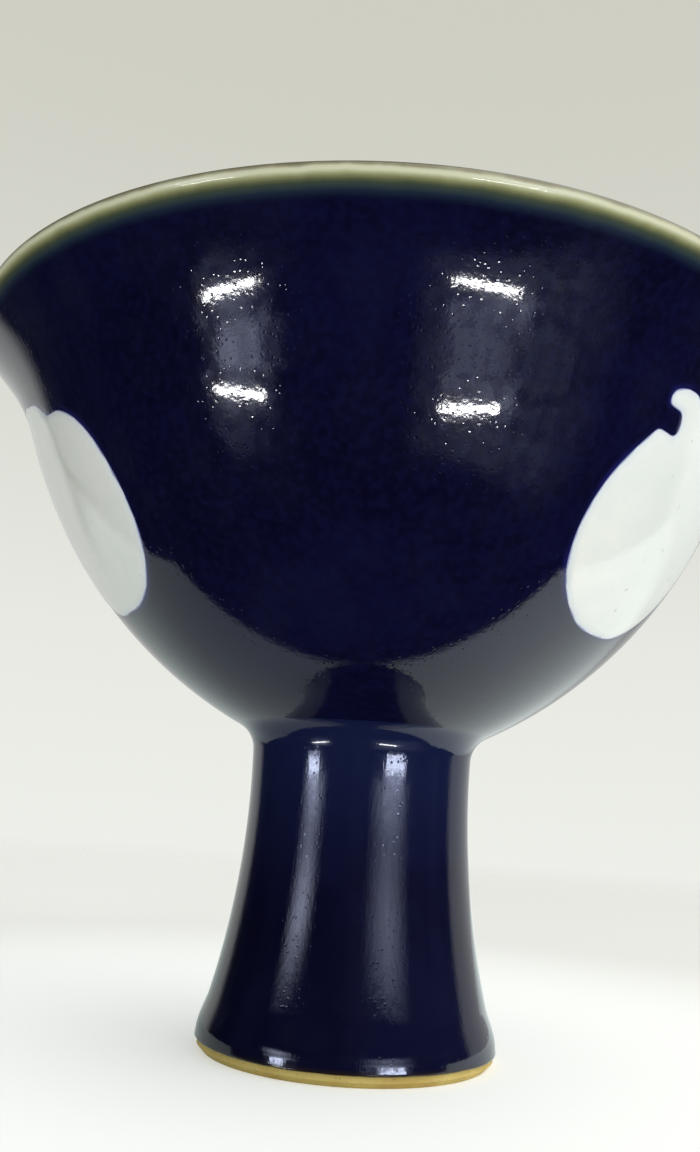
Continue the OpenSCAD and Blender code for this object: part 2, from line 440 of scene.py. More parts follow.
def closed_sheet(name, outer, inner, faces, marks):
    """Closed mesh of a sheet with its back and the walls of its free edges. Marks are values per point."""
    used = sorted({i for face in faces for i in face})
    new = {old: i for i, old in enumerate(used)}
    count = len(used)
    front = [[new[i] for i in face] for face in faces]
    back = [[i + count for i in reversed(face)] for face in front]
    edges = {(face[k - 1], face[k]) for face in front for k in range(len(face))}
    walls = [[b, a, a + count, b + count] for a, b in sorted(edges) if (b, a) not in edges]
    points = np.vstack([outer[used], inner[used]]) * MM
    mesh = bpy.data.meshes.new(name)
    mesh.from_pydata(points.tolist(), [], front + back + walls)
    for label, values in marks.items():
        layer = mesh.attributes.new(label, "FLOAT", "POINT")
        layer.data.foreach_set("value", np.tile(values[used], 2).astype(np.float32))
    mesh.validate()
    return mesh


def patch_triangles(patch, first, count):
    """Triangles of a patch of the coat. The fruit's edge, count places from first on, is kept as a loop."""
    flat = [Vector((turn * panel_r, way)) for turn, way in patch]
    loop = [(first + k, first + (k + 1) % count) for k in range(count)]
    got = delaunay_2d_cdt(flat, loop, [], 0, MERGE_GAP, True)
    source = [group[0] for group in got[3]]
    return np.array([[source[v] for v in face] for face in got[2]])


class BowlCoat:
    """Points over the outside of the bowl, with the faces of its coat and of the panels cut into it."""

    def __init__(self):
        self.turns = np.arange(AROUND) * 2 * math.pi / AROUND
        self.ways = np.linspace(0, coat_way, COAT_ROWS)
        self.turn = np.tile(self.turns, COAT_ROWS)
        self.way = np.repeat(self.ways, AROUND)
        self.from_edge = np.full(len(self.turn), FAR_FROM_EDGE)
        self.groove = np.zeros(len(self.turn))
        self.coat_faces = []
        self.panel_faces = {}
        self.covered = set()

    def grid_under(self, edge):
        """Grid places round a fruit's edge and their numbers. The grid's own faces there are left out."""
        step = self.turns[1]
        j0 = math.floor((edge[:, 0].min() - PATCH_SIDE) / step)
        j1 = math.ceil((edge[:, 0].max() + PATCH_SIDE) / step)
        i0 = int(np.searchsorted(self.ways, edge[:, 1].min() - PATCH_MARGIN)) - 1
        i1 = int(np.searchsorted(self.ways, edge[:, 1].max() + PATCH_MARGIN))
        spots, ids = [], []
        for i in range(i0, i1 + 1):
            for j in range(j0, j1 + 1):
                spots.append((j * step, self.ways[i]))
                ids.append(i * AROUND + j % AROUND)
        self.covered |= {(i, j % AROUND) for i in range(i0, i1) for j in range(j0, j1)}
        return np.array(spots), np.array(ids)

    def add_points(self, places, from_edge, groove):
        """Adds points to the grid's own and returns their numbers."""
        ids = len(self.turn) + np.arange(len(places))
        self.turn = np.concatenate([self.turn, places[:, 0]])
        self.way = np.concatenate([self.way, places[:, 1]])
        self.from_edge = np.concatenate([self.from_edge, from_edge])
        self.groove = np.concatenate([self.groove, groove])
        return ids

    def cut_window(self, fruit, points, middle):
        """Cuts a fruit's window out of the coat and keeps the faces inside it for the panel."""
        outline = smooth_outline(points)
        edge = np.stack(from_panel(outline, middle), -1)
        spots, ids = self.grid_under(edge)
        plane = to_panel(spots[:, 0], spots[:, 1], middle)
        away = from_outline(plane, outline)
        self.from_edge[ids] = np.minimum(self.from_edge[ids], np.abs(away))
        keep = np.abs(away) > EDGE_CLEAR
        rings = [beside_outline(outline, d) for d in EDGE_RINGS]
        if fruit == "peach":
            rings += [beside_cleft(outline, d) for d in CLEFT_RINGS]
            keep &= from_line(plane, cleft_line())[0] > CLEFT_CLEAR
            self.groove[ids] = cleft_depth(plane)
        ringed = np.vstack(rings)
        sunk = cleft_depth(ringed) if fruit == "peach" else np.zeros(len(ringed))
        nought = np.zeros(len(edge))
        extra = np.vstack([edge, np.stack(from_panel(ringed, middle), -1)])
        extra_from_edge = np.concatenate([nought, np.abs(from_outline(ringed, outline))])
        extra_ids = self.add_points(extra, extra_from_edge, np.concatenate([nought, sunk]))
        patch = np.vstack([spots[keep], extra])
        patch_ids = np.concatenate([ids[keep], extra_ids])
        triangles = patch_triangles(patch, int(keep.sum()), len(edge))
        centre = patch[triangles].mean(1)
        inside = from_outline(to_panel(centre[:, 0], centre[:, 1], middle), outline) < 0
        triangles = patch_ids[triangles]
        self.coat_faces += triangles[~inside].tolist()
        self.panel_faces[fruit] = triangles[inside].tolist()

    def fill_grid(self):
        """Adds the grid's own faces wherever no patch lies."""
        for i in range(COAT_ROWS - 1):
            low, high = i * AROUND, (i + 1) * AROUND
            for j in range(AROUND):
                k = (j + 1) % AROUND
                if (i, j) not in self.covered:
                    self.coat_faces.append([low + j, low + k, high + k, high + j])

    def sheets(self):
        """Closed meshes of the coat and the panels, by name."""
        drift = wall_drift(self.way)
        seam = SEAM_DEPTH * np.exp(-(self.from_edge / SEAM_HALF_W)**2)
        rounded = np.clip(self.from_edge / PANEL_ROUND_W, 0, 1)
        swell = PANEL_RISE * rounded * rounded * (3 - 2 * rounded) - self.groove * rounded
        coat = on_coat(self.turn, self.way, drift - seam)
        panel = on_coat(self.turn, self.way, drift + swell - seam)
        back = on_coat(self.turn, self.way, -GLAZE_T)
        marks = {"from_edge": self.from_edge, "cleft": self.groove / CLEFT_DEPTH}
        made = {"coat": closed_sheet("bowl_coat", coat, back, self.coat_faces, marks)}
        for fruit, faces in self.panel_faces.items():
            made[fruit] = closed_sheet(fruit, panel, back, faces, marks)
        return made


def bowl_sheets():
    """Meshes of the bowl's coat and its panels: one grid over the bowl, cut along the fruit outlines."""
    coat = BowlCoat()
    for number, (fruit, points) in enumerate(FRUITS):
        coat.cut_window(fruit, points, math.radians(PANEL_TURN + 360 / len(FRUITS) * number))
    coat.fill_grid()
    return coat.sheets()


# Node trees

class Painter:
    """Short ways to add nodes to one node tree."""

    def __init__(self, tree):
        self.tree = tree

    def give(self, socket, value):
        """Links an input to another node's output, or sets it to a plain value."""
        if isinstance(value, bpy.types.NodeSocket):
            self.tree.links.new(value, socket)
        else:
            socket.default_value = value

    def node(self, kind, inputs=(), **settings):
        made = self.tree.nodes.new(kind)
        for key, value in settings.items():
            setattr(made, key, value)
        for key, value in dict(inputs).items():
            self.give(made.inputs[key], value)
        return made

    def math(self, operation, a, b=0.0):
        return self.node("ShaderNodeMath", {0: a, 1: b}, operation=operation).outputs[0]

    def add(self, a, b):
        return self.math("ADD", a, b)

    def minus(self, a, b):
        return self.math("SUBTRACT", a, b)

    def times(self, a, b):
        return self.math("MULTIPLY", a, b)

    def span(self, value, low, high, to_low=0.0, to_high=1.0, linear=False):
        """Value carried from one range to another, held at both ends."""
        made = self.node("ShaderNodeMapRange", {0: value, 1: low, 2: high, 3: to_low, 4: to_high})
        made.interpolation_type = "LINEAR" if linear else "SMOOTHSTEP"
        return made.outputs[0]

    def parts(self, vector):
        """X, Y and Z of a vector."""
        return self.node("ShaderNodeSeparateXYZ", {0: vector}).outputs

    def joined(self, x, y, z=0.0):
        """Vector of three values."""
        return self.node("ShaderNodeCombineXYZ", {0: x, 1: y, 2: z}).outputs[0]

    def length(self, vector):
        return self.node("ShaderNodeVectorMath", {0: vector}, operation="LENGTH").outputs["Value"]

    def scaled(self, vector, factor):
        return self.node("ShaderNodeVectorMath", {0: vector, 3: factor}, operation="SCALE").outputs[0]

    def mark(self, name):
        """Value that a mesh holds at each point under that name."""
        return self.node("ShaderNodeAttribute", attribute_name=name).outputs["Fac"]

    def noise(self, vector, scale, detail=2.0, rough=0.5):
        """Noise from 0 to 1, with that many features to a unit of the vector."""
        inputs = {"Vector": vector, "Scale": scale, "Detail": detail, "Roughness": rough}
        return self.node("ShaderNodeTexNoise", inputs).outputs[0]

    def ramp(self, factor, stops):
        """Colour ramp through stops of place and colour."""
        made = self.node("ShaderNodeValToRGB", {0: factor})
        band = made.color_ramp
        while len(band.elements) < len(stops):
            band.elements.new(0.5)
        for element, (place, colour) in zip(band.elements, stops):
            element.position = place
            element.color = (*colour, 1)
        return made.outputs[0]

    def mix(self, factor, a, b):
        """Colour between two, each linked or plain."""
        made = self.node("ShaderNodeMix", {0: factor}, data_type="RGBA")
        for key, colour in ((6, a), (7, b)):
            linked = isinstance(colour, bpy.types.NodeSocket)
            self.give(made.inputs[key], colour if linked else (*colour, 1))
        return made.outputs[2]


# Turned layers: a profile is carried round the cup

def turning_tree():
    """Tree that turns a profile about the cup's axis, and the identifiers of its inputs by label.

    The lower edge of a glaze wavers by a noise that runs round the cup.
    """
    tree = bpy.data.node_groups.new("turned_layer", "GeometryNodeTree")
    inputs = {}
    for label, kind in (("Profile", "Geometry"), ("Steps Around", "Int"), ("Edge Height", "Float"),
                        ("Edge Waver", "Float"), ("Finish", "Material")):
        socket = tree.interface.new_socket(label, in_out="INPUT", socket_type="NodeSocket" + kind)
        inputs[label] = socket.identifier
    tree.interface.new_socket("Layer", in_out="OUTPUT", socket_type="NodeSocketGeometry")
    p = Painter(tree)
    given = p.node("NodeGroupInput").outputs
    count = p.node("GeometryNodeAttributeDomainSize", {"Geometry": given["Profile"]})
    rows = count.outputs["Point Count"]
    grid = p.node("GeometryNodeMeshGrid", {
        "Size X": 1, "Size Y": 1, "Vertices X": p.add(given["Steps Around"], 1), "Vertices Y": rows})
    spot = p.parts(p.node("GeometryNodeInputPosition").outputs[0])
    turn = p.times(p.add(spot["X"], 0.5), 2 * math.pi)
    row = p.times(p.add(spot["Y"], 0.5), p.minus(rows, 1))
    on_profile = p.node("GeometryNodeInputPosition").outputs[0]
    sample = p.node(
        "GeometryNodeSampleIndex",
        {"Geometry": given["Profile"], "Value": on_profile, "Index": p.math("ROUND", row)},
        data_type="FLOAT_VECTOR", domain="POINT")
    profile = p.parts(sample.outputs[0])
    sine, cosine = p.math("SINE", turn), p.math("COSINE", turn)
    fall = p.math("DIVIDE", p.minus(profile["Z"], given["Edge Height"]), WAVER_REACH * MM)
    near = p.minus(1, p.math("MINIMUM", p.math("ABSOLUTE", fall), 1))
    uneven = p.noise(p.joined(sine, cosine), WAVER_SCALE, 3)
    shift = p.times(p.minus(uneven, 0.5), given["Edge Waver"])
    place = p.joined(p.times(profile["X"], sine), p.times(profile["X"], p.times(cosine, -1)),
                     p.add(profile["Z"], p.times(shift, near)))
    move = p.node("GeometryNodeSetPosition", {"Geometry": grid.outputs["Mesh"], "Position": place})
    weld = p.node("GeometryNodeMergeByDistance", {"Geometry": move.outputs[0], "Distance": WELD_GAP * MM})
    whole = p.node("GeometryNodeRealizeInstances", {"Geometry": weld.outputs[0]})
    paint = p.node("GeometryNodeSetMaterial", {"Geometry": whole.outputs[0], "Material": given["Finish"]})
    p.node("NodeGroupOutput", {"Layer": paint.outputs[0]})
    return tree, inputs


def turned_mesh(name, points, material, turning, edge_height=0.0, waver=0.0):
    """Plain mesh of a profile turned about the cup's axis. The profile runs with the solid on its left."""
    tree, inputs = turning
    line = bpy.data.meshes.new(name + "_profile")
    places = [(r * MM, 0, z * MM) for r, z in points]
    line.from_pydata(places, [(i, i + 1) for i in range(len(places) - 1)], [])
    holder = bpy.data.objects.new(name + "_profile", line)
    bpy.context.scene.collection.objects.link(holder)
    turner = holder.modifiers.new("turned", "NODES")
    turner.node_group = tree
    turner[inputs["Steps Around"]] = AROUND
    turner[inputs["Edge Height"]] = edge_height * MM
    turner[inputs["Edge Waver"]] = waver * MM
    turner[inputs["Finish"]] = material
    evaluated = holder.evaluated_get(bpy.context.evaluated_depsgraph_get())
    mesh = bpy.data.meshes.new_from_object(evaluated)
    mesh.name = name
    bpy.data.objects.remove(holder)
    bpy.data.meshes.remove(line)
    return mesh


# Colours of the glazes and the clays

DEEP_COBALT = (0.0022, 0.0020, 0.0135)
CLOUDED_COBALT = (0.0036, 0.0038, 0.0235)
MOTTLED_COBALT = (0.0048, 0.0056, 0.0330)
POOLED_COBALT = (0.0115, 0.0110, 0.105)
STEM_COBALT = (0.0031, 0.0034, 0.0185)
STEM_CLOUDED = (0.0054, 0.0064, 0.0320)
STEM_UPPER = (0.0075, 0.0125, 0.0520)
STEM_EDGE_BROWN = (0.020, 0.014, 0.010)
FRUIT_WHITE = (0.74, 0.79, 0.76)
FRUIT_PALER = (0.81, 0.84, 0.80)
BLED_PALE = (0.56, 0.64, 0.78)
BLED_BLUE = (0.15, 0.18, 0.42)
# Painted shade for the crease of the peach's cleft
CLEFT_PAINTED_SHADE = (0.50, 0.56, 0.50)
SPECK_BROWN = (0.42, 0.40, 0.33)
CLEAR_GREEN = (0.66, 0.69, 0.58)
CLEAR_PALER = (0.72, 0.74, 0.64)
CREST_BROWN = (0.17, 0.16, 0.09)
FOOT_CLAY = (0.82, 0.66, 0.21)
FOOT_TOASTED = (0.66, 0.47, 0.125)
PORCELAIN = (0.78, 0.76, 0.70)
PORCELAIN_DULL = (0.70, 0.66, 0.57)

# The blue runs out upwards under the lip, and the lip band goes on from there to its brown crest
BLUE_END = (0.023, 0.036, 0.044)
BLUE_RUN_OUT = [
    (0.0, (0.0034, 0.0042, 0.0210)), (0.42, (0.0056, 0.0090, 0.0260)), (0.78, (0.011, 0.020, 0.040)),
    (1.0, BLUE_END)]
LIP_BAND = [
    (0.036, BLUE_END), (0.143, (0.034, 0.050, 0.048)), (0.25, (0.048, 0.063, 0.042)),
    (0.36, (0.098, 0.112, 0.057)), (0.48, (0.205, 0.216, 0.106)), (0.58, (0.35, 0.36, 0.20)),
    (0.65, (0.48, 0.50, 0.32)), (0.73, (0.63, 0.64, 0.46)), (0.83, (0.60, 0.61, 0.44)),
    (0.92, (0.29, 0.28, 0.19)), (0.98, (0.19, 0.18, 0.11))]


# Finishes

def glaze_skin_group():
    """Surface of a fired glaze: slow waves, orange peel and dimples, and the clouding of its colour."""
    tree = bpy.data.node_groups.new("glaze_skin", "ShaderNodeTree")
    tree.interface.new_socket("Vector", in_out="INPUT", socket_type="NodeSocketVector")
    for label in ("Wave Height", "Peel Height", "Dimples"):
        tree.interface.new_socket(label, in_out="INPUT", socket_type="NodeSocketFloat")
    for label in ("Height", "Roughness", "Cloud"):
        tree.interface.new_socket(label, in_out="OUTPUT", socket_type="NodeSocketFloat")
    p = Painter(tree)
    given = p.node("NodeGroupInput").outputs
    vector = given["Vector"]
    wave = p.times(p.noise(vector, 60, 1.0), given["Wave Height"])
    peel = p.times(p.noise(vector, 1300), given["Peel Height"])
    cells = p.node("ShaderNodeTexVoronoi", {"Vector": vector, "Scale": 1100.0, "Randomness": 1.0})
    dimple = p.span(cells.outputs["Distance"], 0.0, 0.26, 1.0, 0.0)
    uneven = p.span(p.noise(vector, 420, 1.0), 0.16, 0.44)
    pits = p.times(p.times(dimple, uneven), given["Dimples"])
    cloud = p.add(p.times(p.noise(vector, 34, 3.0), 0.7), p.times(p.noise(vector, 240, 3.0), 0.3))
    p.node("NodeGroupOutput", {
        "Height": p.minus(p.add(wave, peel), pits),
        "Roughness": p.times(p.noise(vector, 190, 3.0), 0.07),
        "Cloud": p.span(cloud, 0.35, 0.65)})
    return tree


def new_finish(name):
    """Empty node material with its Principled shader, as (material, painter, shader)."""
    material = bpy.data.materials.new(name)
    material.use_nodes = True
    tree = material.node_tree
    return material, Painter(tree), tree.nodes["Principled BSDF"]


def glaze_skin(p, skin, wave, peel, dimples):
    """Skin group placed in a material on object coordinates, as (coordinates, outputs)."""
    where = p.node("ShaderNodeTexCoord").outputs["Object"]
    inputs = {"Vector": where, "Wave Height": wave, "Peel Height": peel, "Dimples": dimples}
    return where, p.node("ShaderNodeGroup", inputs, node_tree=skin).outputs


def finish_glaze(p, shader, skin_out, colour, rough, ripple=0.0):
    """Joins colour, roughness and bump to a glaze's shader. Ripple is a height beside the skin's own."""
    height = p.add(skin_out["Height"], ripple)
    lift = p.node("ShaderNodeBump", {"Strength": 1.0, "Distance": GLAZE_BUMP * MM, "Height": height})
    p.give(shader.inputs["Normal"], lift.outputs[0])
    p.give(shader.inputs["Roughness"], p.add(skin_out["Roughness"], rough))
    p.give(shader.inputs["Base Color"], colour)
    p.give(shader.inputs["IOR"], GLAZE_IOR)


def lip_place(p, where):
    """Ways along and out from the outside of the lip, in millimetres from where it starts to round over."""
    part = p.parts(where)
    reach = p.length(p.joined(part["X"], part["Y"]))
    across = p.times(p.minus(reach, lip_c[0] * MM), 1 / MM)
    rise = p.times(p.minus(part["Z"], lip_c[1] * MM), 1 / MM)
    cosine, sine = math.cos(math.radians(LIP_SLOPE)), math.sin(math.radians(LIP_SLOPE))
    along = p.add(p.times(across, cosine), p.times(rise, sine))
    out = p.minus(p.times(across, sine), p.times(rise, cosine))
    ragged = p.times(p.minus(p.noise(where, 240, 3.0), 0.5), 0.5)
    return p.add(along, ragged), out


def bowl_blue_finish(skin):
    """Cobalt glaze of the bowl: clouded, thin and green under the lip, vivid along the fruit windows."""
    material, p, shader = new_finish("bowl_cobalt_glaze")
    where, out = glaze_skin(p, skin, wave=0.55, peel=0.18, dimples=0.21)
    colour = p.mix(out["Cloud"], DEEP_COBALT, CLOUDED_COBALT)
    mottle = p.span(p.noise(where, 900), 0.35, 0.70, 0.0, 0.5)
    colour = p.mix(mottle, colour, MOTTLED_COBALT)
    along, _ = lip_place(p, where)
    thin = p.ramp(p.span(along, -3.1, -1.6, linear=True), BLUE_RUN_OUT)
    colour = p.mix(p.span(along, -3.1, -2.4), colour, thin)
    pooled = p.span(p.noise(where, 90), 0.36, 0.64, 0.15, 0.85)
    by_window = p.span(p.mark("from_edge"), 0.05, 1.1, 1.0, 0.0)
    colour = p.mix(p.times(by_window, pooled), colour, POOLED_COBALT)
    finish_glaze(p, shader, out, colour, rough=0.03)
    return material


def stem_blue_finish(skin):
    """Cobalt glaze of the stem: a little bluer, brown where it thins at the foot, with rings and runs."""
    material, p, shader = new_finish("stem_cobalt_glaze")
    where, out = glaze_skin(p, skin, wave=0.6, peel=0.03, dimples=0.15)
    colour = p.mix(out["Cloud"], STEM_COBALT, STEM_CLOUDED)
    z = p.parts(where)["Z"]
    colour = p.mix(p.span(z, 24 * MM, 44 * MM, 0.0, 0.8), colour, STEM_UPPER)
    foot = p.span(z, (BARE_H + 0.1) * MM, (BARE_H + 0.9) * MM, 1.0, 0.0)
    colour = p.mix(foot, colour, STEM_EDGE_BROWN)
    rings = p.node("ShaderNodeMapping", {"Vector": where, "Scale": (1.0, 1.0, 6.0)}).outputs[0]
    ripple = p.times(p.noise(rings, 250), 0.015)
    runs = p.node("ShaderNodeMapping", {"Vector": where, "Scale": (1.0, 1.0, 0.22)}).outputs[0]
    grain = p.times(p.noise(runs, 2200), 0.20)
    finish_glaze(p, shader, out, colour, rough=0.045, ripple=p.add(ripple, grain))
    return material


def white_finish(skin):
    """Bluish white glaze of the fruit panels, with cobalt bled into the edges and painted grey-green shade
    along the peach's cleft.
    """
    material, p, shader = new_finish("white_fruit_glaze")
    where, out = glaze_skin(p, skin, wave=1.0, peel=0.3, dimples=0.2)
    colour = p.mix(out["Cloud"], FRUIT_WHITE, FRUIT_PALER)
    ragged = p.times(p.minus(p.noise(where, 420, 3.0), 0.5), 0.5)
    uneven = p.add(p.mark("from_edge"), ragged)
    colour = p.mix(p.span(uneven, 0.10, 1.3, 0.40, 0.0), colour, BLED_PALE)
    colour = p.mix(p.span(uneven, 0.02, 0.28, 0.85, 0.0), colour, BLED_BLUE)
    # painted shade: grey-green darkening along the peach's cleft, where shade falls in the crease
    colour = p.mix(p.times(p.mark("cleft"), 0.5), colour, CLEFT_PAINTED_SHADE)
    specks = p.span(p.noise(where, 620, 1.0), 0.72, 0.78, 0.0, 0.4)
    colour = p.mix(specks, colour, SPECK_BROWN)
    finish_glaze(p, shader, out, colour, rough=0.04)
    return material


def clear_finish(skin, name):
    """Clear glaze over porcelain, faintly green, brown on the lip's crest and running into the blue."""
    material, p, shader = new_finish(name)
    where, out = glaze_skin(p, skin, wave=1.0, peel=0.3, dimples=0.2)
    colour = p.mix(out["Cloud"], CLEAR_GREEN, CLEAR_PALER)
    along, outward = lip_place(p, where)
    colour = p.mix(p.span(along, 0.45, 0.95), colour, CREST_BROWN)
    lip = p.ramp(p.span(along, -1.7, 1.1, linear=True), LIP_BAND)
    outside = p.times(p.span(outward, -0.1, 0.2), p.span(along, -2.6, -2.2))
    colour = p.mix(outside, colour, lip)
    finish_glaze(p, shader, out, colour, rough=0.04)
    return material


def clay_finish(name, pale, toasted):
    """Bare fired clay with patches, fine grit and darker specks."""
    material, p, shader = new_finish(name)
    where = p.node("ShaderNodeTexCoord").outputs["Object"]
    grain = p.noise(where, 1400, 4.0, 0.6)
    patches = p.span(p.noise(where, 120, 3.0), 0.35, 0.68)
    colour = p.mix(patches, pale, toasted)
    specks = p.span(p.noise(where, 2600, 1.0), 0.66, 0.74)
    colour = p.mix(p.times(specks, 0.5), colour, tuple(v * 0.45 for v in toasted))
    lift = p.node("ShaderNodeBump", {"Strength": 1.0, "Distance": CLAY_BUMP * MM, "Height": grain})
    p.give(shader.inputs["Normal"], lift.outputs[0])
    p.give(shader.inputs["Roughness"], p.span(grain, 0.3, 0.7, 0.5, 0.8))
    p.give(shader.inputs["Base Color"], colour)
    return material


# Cup

skin = glaze_skin_group()
turning = turning_tree()
bowl_blue = bowl_blue_finish(skin)
stem_blue = stem_blue_finish(skin)
white = white_finish(skin)
clear = clear_finish(skin, "clear_bowl_glaze")
lining = clear_finish(skin, "clear_stem_glaze")
foot_clay = clay_finish("toasted_foot_clay", FOOT_CLAY, FOOT_TOASTED)
hidden_clay = clay_finish("white_porcelain_clay", PORCELAIN, PORCELAIN_DULL)

sheets = bowl_sheets()
make_piece("bowl_blue_coat", sheets["coat"], bowl_blue, "bowl_blue_glaze")
for fruit in ("pomegranate", "peach", "persimmon"):
    make_piece("white_" + fruit, sheets[fruit], white, fruit + "_panel")

run_down = run_down_side()
clay_side = stem_side(GLAZE_T, BARE_H)
coat_points = glaze_roll(clay_side[0], run_down) + run_down + clay_side[::-1]
stem_coat = turned_mesh("stem_coat", coat_points, stem_blue, turning, BARE_H, EDGE_WAVER)
make_piece("stem_blue_coat", stem_coat, stem_blue, "stem_blue_glaze")

lining_points = bowl_inside(GLAZE_T) + lip_round(GLAZE_T) + lip_round(0)[::-1] + bowl_inside(0)[::-1]
bowl_lining = turned_mesh("bowl_lining", lining_points, clear, turning)
make_piece("bowl_clear_lining", bowl_lining, clear, "bowl_clear_glaze")

bore_points = [np.array([0, stub_z - GLAZE_T])] + bore_side(BORE_BARE_H, GLAZE_T)[::-1]
bore_points += bore_side(BORE_BARE_H, 0) + [np.array([0, stub_z])]
stem_lining = turned_mesh("stem_lining", bore_points, lining, turning, BORE_BARE_H, BORE_WAVER)
make_piece("stem_clear_lining", stem_lining, lining, "stem_clear_glaze")

collar = bore_side(BARE_H + FOOT_BEVEL, 0)
wall_points = [collar[0] + np.array([FOOT_BEVEL, -collar[0][1]]), np.array([foot_r - FOOT_BEVEL, 0]),
               np.array([foot_r, FOOT_BEVEL])]
wall_points += clay_side[:STEM_STEPS + 1] + collar[::-1] + [wall_points[0]]
stem_wall = turned_mesh("stem_wall", wall_points, foot_clay, turning)
make_piece("stem_clay", stem_wall, foot_clay, "stem_body")

for node in ("bowl_body", "luting_slip"):
    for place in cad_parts[node].material_slots:
        place.material = hidden_clay


# Stage: pale floor, soft light and the photograph's camera. Lengths here are metres

FLOOR_HALF = 1.2
FLOOR_PALE = (0.81, 0.81, 0.77)
# The floor's painted reflection colour in the glaze, and the colour of its painted light
FLOOR_PAINTED_REFLECTION = (0.73, 0.83, 0.81)
FLOOR_PAINTED_LIGHT = (0.92, 0.97, 0.97, 1)
BACKDROP = [(0.0, (0.88, 0.89, 0.85)), (0.45, (0.80, 0.81, 0.76)), (1.0, (0.62, 0.62, 0.55))]
SOFT_LEFT = (0.285, 0.285, 0.275)
SOFT_RIGHT = (1.24, 1.24, 1.22)
ROOM_DIM = (0.80, 0.92, 1.15)
ROOM_WALL = (0.66, 0.68, 0.66)
WINDOW_LIGHT = (0.86, 0.95, 1.27)

# Lights of the room as the glaze mirrors them: the turns between which the left and the right side fade,
# in degrees from the front, and the strength at rises in degrees
LEFT_WINDOW = ((-57, -49), (-45, -29), [
    (-38, 0.0), (-32, 0.2), (-28, 0.4), (-25, 0.8), (-22, 1.2), (-17, 1.5), (-12.5, 2.6), (-8, 1.0),
    (-5, 0.0)])
RIGHT_WINDOW = ((12, 23), (33, 47), [
    (-38, 0.0), (-33, 0.12), (-29, 0.28), (-26, 0.5), (-23, 1.2), (-19, 0.8), (-15, 0.6), (-8, 0.4),
    (-5, 0.0)])
SIDE_WINDOW = ((6, 16), (50, 74), [(-40, 0.0), (-34, 0.28), (-14, 0.28), (-8, 0.16), (-4, 0.0)])
LEFT_STREAK = ((-62, -46), (-47, -31), [
    (0.2, 0.0), (1, 5.5), (2.1, 4.2), (4.7, 1.9), (7, 3.7), (9, 4.5), (11.4, 2.4), (13.4, 0.45),
    (14.5, 0.0)])
RIGHT_STREAK = ((8, 34), (32, 56), [
    (0.2, 0.0), (1.2, 4.2), (1.9, 3.4), (4.8, 1.4), (7.4, 1.6), (9.8, 2.1), (12.4, 1.9), (15, 0.75),
    (16.3, 0.0)])
LEFT_PANE = ((-56.5, -53.5), (-45, -42), [(-0.25, 0.0), (-0.1, 44.0), (0.25, 44.0), (0.4, 0.0)])
RIGHT_PANE = ((24, 27), (44, 47), [(-0.9, 0.0), (-0.75, 44.0), (-0.3, 44.0), (-0.15, 0.0)])
RISE_LOW = -45
RISE_HIGH = 20


def floor_shown(p, path, part):
    """Share of the floor that shows: all of it to the camera, and behind a front line to glaze and light.

    In the glaze that line runs aslant and bends back beyond each side of the cup.
    """
    left = p.times(p.math("MAXIMUM", p.minus(-0.115, part["X"]), 0.0), 0.6)
    right = p.times(p.math("MAXIMUM", p.minus(part["X"], 0.110), 0.0), 0.7)
    aslant = p.add(part["Y"], p.times(part["X"], 0.085))
    mirrored_edge = p.span(p.minus(aslant, p.add(left, right)), -0.0240, -0.0195)
    lit_edge = p.span(part["Y"], -0.085, -0.058)
    front = p.node("ShaderNodeMix", {0: path["Is Glossy Ray"], 2: lit_edge, 3: mirrored_edge})
    return p.math("MAXIMUM", front.outputs[0], path["Is Camera Ray"])


def floor_finish():
    """Matt pale floor with painted light: to the camera it glows a little round the foot, lifting the cup's
    shadow, and in the glaze it mirrors with a painted tint and a glow that grows to the right. It fades out
    far away.
    """
    material, p, shader = new_finish("pale_floor")
    path = p.node("ShaderNodeLightPath").outputs
    where = p.node("ShaderNodeTexCoord").outputs["Object"]
    part = p.parts(where)
    reach = p.length(where)
    # painted reflection: the floor takes a cooler colour where the glaze mirrors it
    p.give(shader.inputs["Base Color"], p.mix(path["Is Glossy Ray"], FLOOR_PALE, FLOOR_PAINTED_REFLECTION))
    p.give(shader.inputs["Roughness"], 0.9)
    p.give(shader.inputs["Specular IOR Level"], 0.1)
    # painted light: an uneven glow round the foot, stronger on the left, lifts the cup's shadow for the
    # camera; in the glaze the floor glows more to the right
    painted_light_near_foot = p.times(p.span(reach, 0.05, 0.18, 0.44, 0.12), p.span(part["X"], -0.12, 0.08, 1.2, 0.8))
    painted_reflection_glow = p.span(part["X"], -0.12, 0.10, 0.0, 0.55)
    glow = p.add(p.times(path["Is Camera Ray"], painted_light_near_foot), p.times(path["Is Glossy Ray"], painted_reflection_glow))
    p.give(shader.inputs["Emission Color"], FLOOR_PAINTED_LIGHT)
    p.give(shader.inputs["Emission Strength"], glow)
    shown = p.times(floor_shown(p, path, part), p.span(reach, 0.25, 0.9, 1.0, 0.0))
    unseen = p.node("ShaderNodeBsdfTransparent")
    blend = p.node("ShaderNodeMixShader", {0: shown, 1: unseen.outputs[0], 2: shader.outputs[0]})
    p.give(p.tree.nodes["Material Output"].inputs["Surface"], blend.outputs[0])
    return material


def pale_floor():
    """Floor under the cup. In the glaze it shows from a line just in front of the foot."""
    mesh = bpy.data.meshes.new("pale_floor")
    corners = [(x * FLOOR_HALF, y * FLOOR_HALF, 0) for x, y in ((-1, -1), (1, -1), (1, 1), (-1, 1))]
    mesh.from_pydata(corners, [], [(0, 1, 2, 3)])
    floor = bpy.data.objects.new("pale_floor", mesh)
    bpy.context.scene.collection.objects.link(floor)
    mesh.materials.append(floor_finish())


